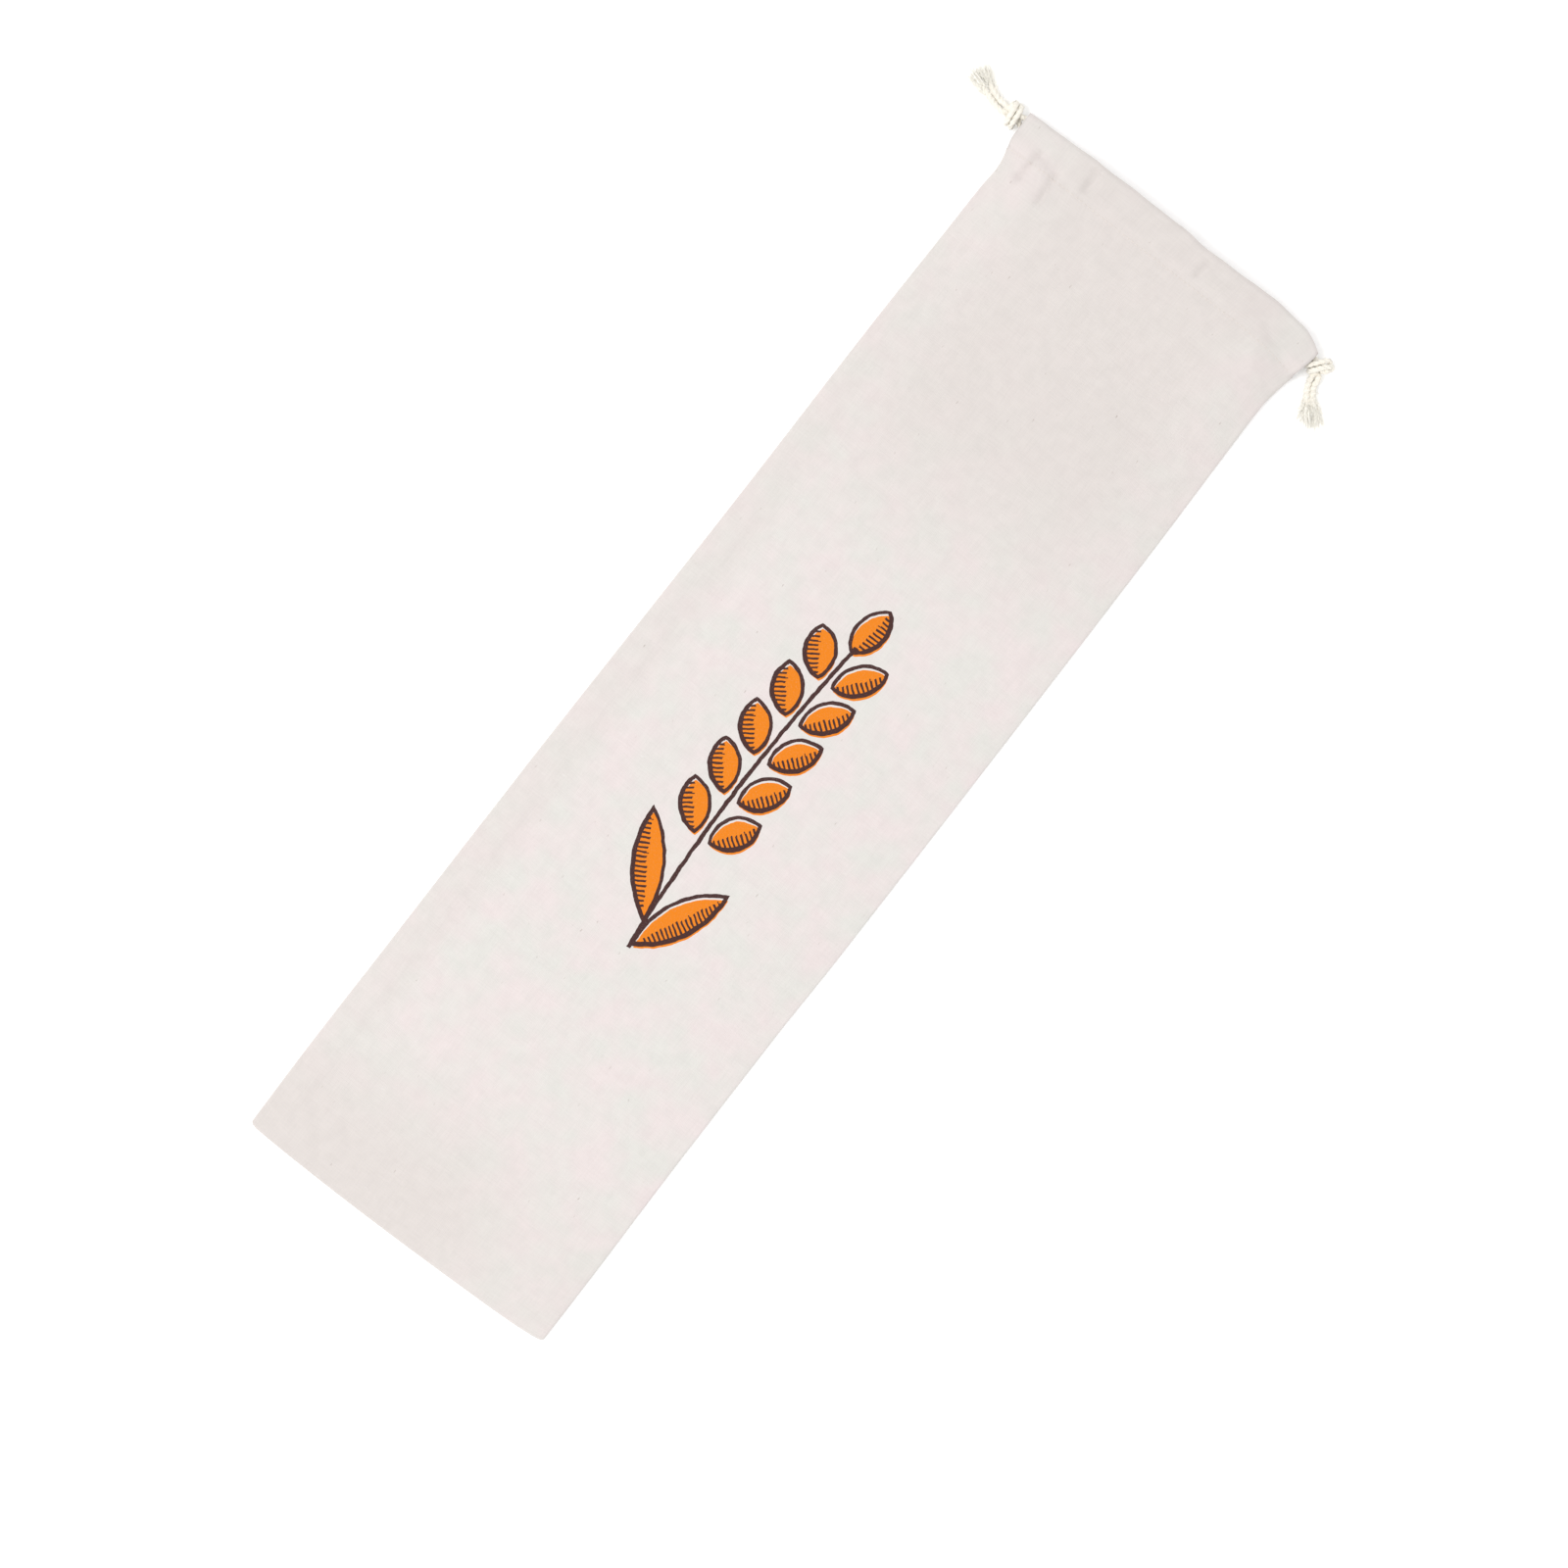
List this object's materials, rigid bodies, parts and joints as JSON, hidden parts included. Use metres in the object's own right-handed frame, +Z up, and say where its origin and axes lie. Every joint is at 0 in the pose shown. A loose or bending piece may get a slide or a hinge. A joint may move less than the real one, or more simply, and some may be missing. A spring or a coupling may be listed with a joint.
{
  "type": "linen bread bag",
  "caption": "Long flat drawstring bag of natural linen cloth for a baguette, lying empty, with a hemmed mouth and knotted cotton cords that close it.",
  "frame": {"origin": "on the surface the bag lies on, under the middle of its cloth", "axes": "+Y along the bag from its folded bottom to its mouth, +X across it, +Z up through its front panel, which carries the print"},
  "size_m": [0.2788, 0.7078, 0.0182],
  "materials": {
    "linen_cotton": "natural unbleached plain weave, matt, with small brown flecks",
    "cotton_cord": "soft twisted cream cotton, matt"
  },
  "bodies": {
    "root": {"bag_cloth": "linen_cotton", "drawstring_left": "cotton_cord", "drawstring_right": "cotton_cord", "knot_left": "cotton_cord", "knot_right": "cotton_cord"}
  },
  "joints": []
}
